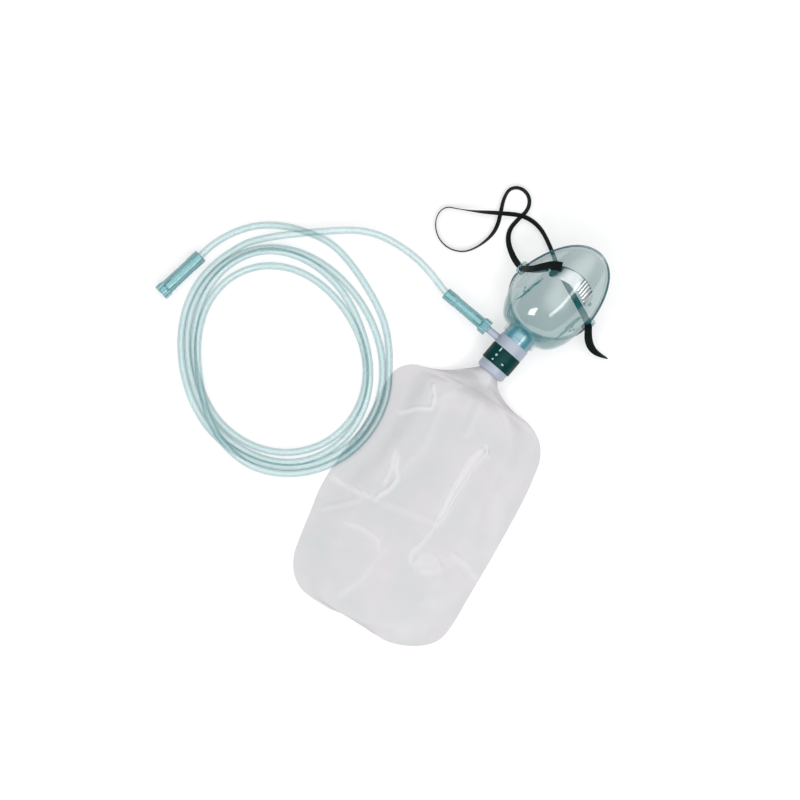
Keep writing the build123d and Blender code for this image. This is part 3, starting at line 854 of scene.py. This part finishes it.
border = (
    list(range(WIDTH_STEPS + 1))
    + [i * (WIDTH_STEPS + 1) + WIDTH_STEPS for i in range(1, SPAN_STEPS + 1)]
    + [SPAN_STEPS * (WIDTH_STEPS + 1) + k for k in range(WIDTH_STEPS - 1, -1, -1)]
    + [i * (WIDTH_STEPS + 1) for i in range(SPAN_STEPS - 1, 0, -1)]
)
for a, b in zip(border, border[1:] + border[:1]):
    clip_faces.append((a, b, b + per_side, a + per_side))
clip = mask_piece("nose_clip_strip", clip_verts, clip_faces, clip_aluminium, "clip_aluminium")
smooth_by_angle(clip, 50)
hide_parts("nose_clip")

# moulded posts that hold the clip's ends
POST_X = 21.6
POST_PROFILE = (
    (-0.3, 2.1), (0.825, 1.9), (0.95, 1.35), (1.825, 1.25), (2.2, 0.8), (2.275, 0.01),
)
for side, name in ((-1, "left"), (1, "right")):
    place, normal = clip_base(side * POST_X, -0.5)
    mask_piece(f"clip_post_{name}", *turned(place, normal, POST_PROFILE), crease_clear)


# ---- reservoir bag ------------------------------------------------------------------

# right and left edge of the bag, from the neck down
BAG_SIDES = [
    ((-18.4, 54), (-34.6, 54)), ((-16.2, 51), (-37.2, 50.5)), ((-11.5, 46.5), (-41.8, 45)),
    ((-2, 43), (-47.4, 39.4)), ((10, 41), (-55, 31.5)), ((28, 41), (-66.4, 23.4)),
    ((43.5, 36.2), (-80, 16.2)), ((54.6, 24.4), (-87.6, 6)), ((60.5, 9), (-88.5, -8)),
    ((66, -10), (-84.5, -27)), ((72.5, -39.6), (-79.5, -52)), ((79, -73.3), (-77, -85)),
    ((84.8, -106.3), (-73, -112)), ((89.2, -131.4), (-66, -134)), ((88.5, -149), (-59, -155)),
    ((78, -164), (-52.5, -172)), ((60, -175.9), (-42.7, -184.1)), ((45, -179.4), (-31, -190.3)),
    ((31, -178.4), (-20, -191.2)), ((14, -183.6), (-8, -189.8)), ((3, -187.6), (1, -188.4)),
]
# (station, height of the edge, rise of the top film, drop of the bottom film)
BAG_LEVELS = [
    (0, 20.2, 8.3, 8.3), (1, 20.2, 8.4, 8.4), (2, 18.2, 10.4, 8.4), (3, 12.4, 15.6, 9.4),
    (4, 6.6, 16.2, 5.0), (5, 3.2, 11.8, 2.6), (6, 1.6, 9.0, 1.1), (7, 0.9, 7.0, 0.6),
    (9, 0.75, 5.8, 0.5), (12, 0.7, 5.4, 0.5), (15, 0.7, 4.4, 0.5), (17, 0.7, 3.2, 0.5),
    (19, 0.7, 1.2, 0.5), (20, 0.7, 0.2, 0.4),
]
# creases in the film: route, height, width, how white the painted highlight makes the film along
# it
BAG_CREASES = [
    ([(10, -1), (8, -14), (13, -40), (19, -63), (22, -77)], 0.9, 1.2, 0.5),
    ([(16, 1), (17, -22), (20, -46), (25, -68), (24, -80)], 1.1, 1.3, 0.5),
    ([(12, -4), (13, -24), (17, -46), (22, -66)], 0.1, 3.6, 0.5),
    ([(12, 4), (15, 2), (18, -2)], 0.9, 1.5, 0.7),
    ([(24, -80), (24, -96), (22, -107), (28, -114)], 0.9, 1.2, 0.5),
    ([(30, -113), (31, -101), (41, -97), (52, -101), (38, -114)], 0.8, 1.6, 0.3),
    ([(34, -109), (42, -105)], 0.3, 5.0, 0.3),
    ([(-39, -52), (-34, -60), (-27, -66), (-27, -78), (-31, -90)], 1.2, 1.4, 0.7),
    ([(-44, -50), (-37, -62), (-34, -76)], 0.8, 1.3, 0.5),
    ([(-70, -102), (-46, -97), (-30, -91)], 1.0, 1.4, 0.5),
    ([(-30, -91), (0, -82), (24, -72)], 0.5, 2.0, 0.2),
    ([(-62, -22), (-54, -10), (-44, -2), (-49, 8), (-56, 14)], 1.1, 1.4, 0.6),
    ([(-40, 6), (-29, -28), (-30, -56)], 0.7, 4.0, 0.15),
    ([(-38, -124), (-24, -118), (-6, -116), (-2, -122)], 0.8, 1.5, 0.4),
    ([(51, -23.5), (66, -48), (77.6, -68)], 0.4, 5.0, 0.15),
    ([(50, -86), (64, -84), (80, -88)], 0.6, 1.6, 0.3),
    ([(-60, -128), (-48, -112), (-40, -100)], 0.6, 1.8, 0.2),
    ([(2, -120), (4, -150), (-2, -176)], 0.5, 3.0, 0.15),
    ([(-24, 46), (-14, 24), (-8, 2)], 0.9, 3.2, 0.1),
    ([(-29, 46), (-38, 26), (-46, 8)], 0.8, 3.0, 0.1),
]
BAG_ROWS = 230
BAG_COLUMNS = 150
WELD = 2.6
SWELL_WIDTH = 34.0      # how far in from the weld the film rises
COIL_OUTSIDE = 101.0    # the coil lies on the bag's shoulder and holds it flat
BESIDE_COIL = 26.0
NECK_END = 3.0          # the station where the neck opens into the bag


def distance_to(route, x, y):
    """How far a point is from a line of straight runs."""
    best = 1e9
    for (ax, ay), (bx, by) in zip(route, route[1:]):
        dx, dy = bx - ax, by - ay
        t = max(0.0, min(1.0, ((x - ax) * dx + (y - ay) * dy) / (dx * dx + dy * dy)))
        best = min(best, hypot(x - ax - dx * t, y - ay - dy * t))
    return best


def bag_film_rise(x, y):
    """How far creases and slack lift the top film, and how strong the painted highlight along the
    creases is there.
    """
    rise, painted_highlight = 0.0, 0.0
    for route, height, width, white in BAG_CREASES:
        reach = distance_to(route, x, y) / width
        if reach < 4:
            rise += height * (exp(-reach**1.4) - 0.35 * exp(-((reach - 1.9) ** 2)))
            painted_highlight = max(painted_highlight, white * exp(-((reach / 1.3) ** 2)))
    rise += 0.9 * noise.noise(Vector((x / 34, y / 34, 1.3)))
    rise += 0.3 * noise.noise(Vector((x / 11, y / 14, 4.1)))
    rise += 0.06 * noise.noise(Vector((x / 4, y / 4, 7.7)))
    return rise, painted_highlight


bag_top, bag_bottom, bag_painted_highlight = [], [], []
stations = [(i, *a, *b) for i, (a, b) in enumerate(BAG_SIDES)]
last_station = len(BAG_SIDES) - 1
for r in range(BAG_ROWS + 1):
    at = r / BAG_ROWS * last_station
    rx, ry, lx, ly = hermite(stations, at)
    level, rise_top, drop = hermite(BAG_LEVELS, at)
    width = hypot(rx - lx, ry - ly)
    loose = smooth((at - NECK_END) / 3.0)
    peaked = smooth((at - 1.6) / 1.2) * (1 - loose)
    end = smooth((last_station - at) / 1.5)
    for c in range(BAG_COLUMNS + 1):
        # columns gather towards both edges, so the welded rim is fine
        u = -cos(pi * c / BAG_COLUMNS)
        x, y = lerp(lx, rx, (u + 1) / 2), lerp(ly, ry, (u + 1) / 2)
        arch = sqrt(max(0.0, 1 - u * u))
        inside = (1 - abs(u)) * width / 2
        weld = lerp(1.0, smooth((inside - WELD) / SWELL_WIDTH), loose)
        swell = lerp(arch, arch ** (1 + 2 * peaked) * weld, max(loose, peaked))
        lift, painted_highlight = bag_film_rise(x, y)
        top = level + rise_top * swell + lift * loose * smooth((inside - 0.5) / 10) * end
        clear = hypot(x - COIL_CENTRE[0], y - COIL_CENTRE[1]) - COIL_OUTSIDE
        free = lerp(1.0, smooth(clear / BESIDE_COIL), loose)
        top = lerp(min(top, level + 0.1), top, free)
        bottom = level - drop * lerp(arch, min(1.0, arch * 3), loose)
        bag_top.append(Vector((x, y, max(top, level + 0.02))))
        bag_bottom.append(Vector((x, y, max(bottom, 0.12))))
        bag_painted_highlight.append(painted_highlight * loose * end)
layer = len(bag_top)
stride = BAG_COLUMNS + 1
faces = grid_faces(BAG_ROWS + 1, stride)
bag_faces = faces + [tuple(i + layer for i in reversed(f)) for f in faces]
# the two films are joined along both sides and the far end; the neck stays open
edge_loop = (
    [r * stride for r in range(BAG_ROWS + 1)]
    + [BAG_ROWS * stride + c for c in range(1, stride)]
    + [r * stride + BAG_COLUMNS for r in range(BAG_ROWS - 1, -1, -1)]
)
for a, b in zip(edge_loop, edge_loop[1:]):
    bag_faces.append((a, b, b + layer, a + layer))
bag = add_mesh(
    "reservoir_bag_film", bag_top + bag_bottom, bag_faces, bag_film, "valve")
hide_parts("reservoir_bag")
# this attribute holds the painted highlight along the bag's creases
crease = bag.data.attributes.new("crease", "FLOAT", "POINT")
for spot, painted_highlight in zip(crease.data, bag_painted_highlight):
    spot.value = painted_highlight


# ---- printed marks on the dilution collar -------------------------------------------

# (name, body, barrel radius, x across the top, y along it, half sizes)
MARKS = [
    ("collar_mark_line", "collar", COLLAR_R, -5.8, -7.4, 0.75, 2.2),
    ("collar_mark_dot_1", "collar", COLLAR_R, -5.7, -13.2, 1.1, 1.1),
    ("collar_mark_dot_2", "collar", COLLAR_R, -5.8, -18.0, 0.95, 0.85),
    ("collar_mark_dash", "collar", COLLAR_R, 3.9, -16.6, 1.3, 0.75),
    ("band_mark_blob", "valve", BAND_R, -5.3, -4.2, 0.8, 0.7),
]
MARK_STEPS = 28
for name, body, radius, x, y, half_x, half_y in MARKS:
    verts = []
    for lift, grow in ((0.01, 1.0), (0.07, 0.96)):
        for i in range(MARK_STEPS):
            a = 2 * pi * i / MARK_STEPS
            turn = (x + half_x * grow * cos(a)) / radius
            verts.append(Vector((
                AXIS_X + (radius + lift) * sin(turn),
                BAND_Y + (y + half_y * grow * sin(a)),
                AXIS_Z + (radius + lift) * cos(turn),
            )))
    faces = grid_faces(2, MARK_STEPS, closed=True) + [tuple(range(MARK_STEPS, 2 * MARK_STEPS))]
    add_mesh(name, verts, faces, printed_mark, body)


# ---- finishes of the CAD parts that stay ---------------------------------------------

FINISHES = {
    "valve_body": valve_white, "dilution_collar": collar_green, "bag_adapter": valve_white,
    "swivel_connector": swivel_teal, "valve_seat": valve_white, "flap_pin": valve_white,
    "inlet_flap": silicone, "bag_neck_band": silicone,
    "mask_end_connector": connector_clear, "supply_end_connector": connector_clear,
}
for name, material in FINISHES.items():
    data = nodes[name].data
    data.materials.clear()
    data.materials.append(material)


# ---- floor, light -------------------------------------------------------------------

floor_finish = Finish("floor", 0.9)
floor_finish.vary(srgb(190, 190, 190), 0.004, 0.01)
floor_finish.set("Emission Color", (1, 1, 1, 1))
floor_finish.set("Emission Strength", 0.48)
FLOOR_REACH = 6.0
floor_signs = ((-1, -1), (1, -1), (1, 1), (-1, 1))
floor_corners = [(x * FLOOR_REACH, y * FLOOR_REACH, 0) for x, y in floor_signs]
floor_mesh = bpy.data.meshes.new("floor")
floor_mesh.from_pydata(floor_corners, [], [(0, 1, 2, 3)])
floor_mesh.materials.append(floor_finish.material)
floor = bpy.data.objects.new("floor", floor_mesh)
scene.collection.objects.link(floor)

world = bpy.data.worlds.new("studio")
scene.world = world
world.use_nodes = True
tree = world.node_tree
background = tree.nodes["Background"]
sky_coords = tree.nodes.new("ShaderNodeTexCoord")
split = tree.nodes.new("ShaderNodeSeparateXYZ")
tree.links.new(sky_coords.outputs["Generated"], split.inputs["Vector"])
sky = tree.nodes.new("ShaderNodeValToRGB")
dark, bright = sky.color_ramp.elements
dark.position = 0.58
dark.color = (0.03, 0.035, 0.04, 1)
bright.position = 0.92
bright.color = (1, 1, 1, 1)
tree.links.new(split.outputs["Z"], sky.inputs["Fac"])
tree.links.new(sky.outputs["Color"], background.inputs["Color"])
background.inputs["Strength"].default_value = 1.9


def softbox(name, place, size, power, target, along):
    """An area lamp that faces the target, with its long side along the given direction."""
    data = bpy.data.lights.new(name, "AREA")
    data.shape = "RECTANGLE"
    data.size, data.size_y = size
    data.energy = power
    lamp = bpy.data.objects.new(name, data)
    lamp.location = place
    back = (place - target).normalized()
    side = along.cross(back).normalized()
    lamp.rotation_euler = Matrix((side, back.cross(side), back)).transposed().to_euler()
    scene.collection.objects.link(lamp)


rolled_surface = BVHTree.FromPolygons([roll_mask(p) for p in shell_top], shell_faces)


def glint(x, y, distance):
    """Where a lamp stands so that the camera sees it mirrored in the mask at that place."""
    place, normal = seen_from_above(rolled_surface, x, y)
    place = place * MM
    view = (camera.location - place).normalized()
    return place + (2 * normal.dot(view) * normal - view) * distance, place


window_place, window_target = glint(-5.5, 34, 2.1)
softbox("window", window_place, (0.42, 0.5), 6, window_target, Vector((0, 1, 0)))
strip_low, strip_target = glint(7.2, 40.5, 2.0)
strip_high, strip_target = glint(8.5, 66, 2.0)
softbox("strip", (strip_low + strip_high) / 2, (0.36, (strip_high - strip_low).length), 10,
        strip_target, strip_high - strip_low)

scene.view_settings.view_transform = "Standard"
scene.view_settings.look = "None"
scene.view_settings.exposure = 0.0
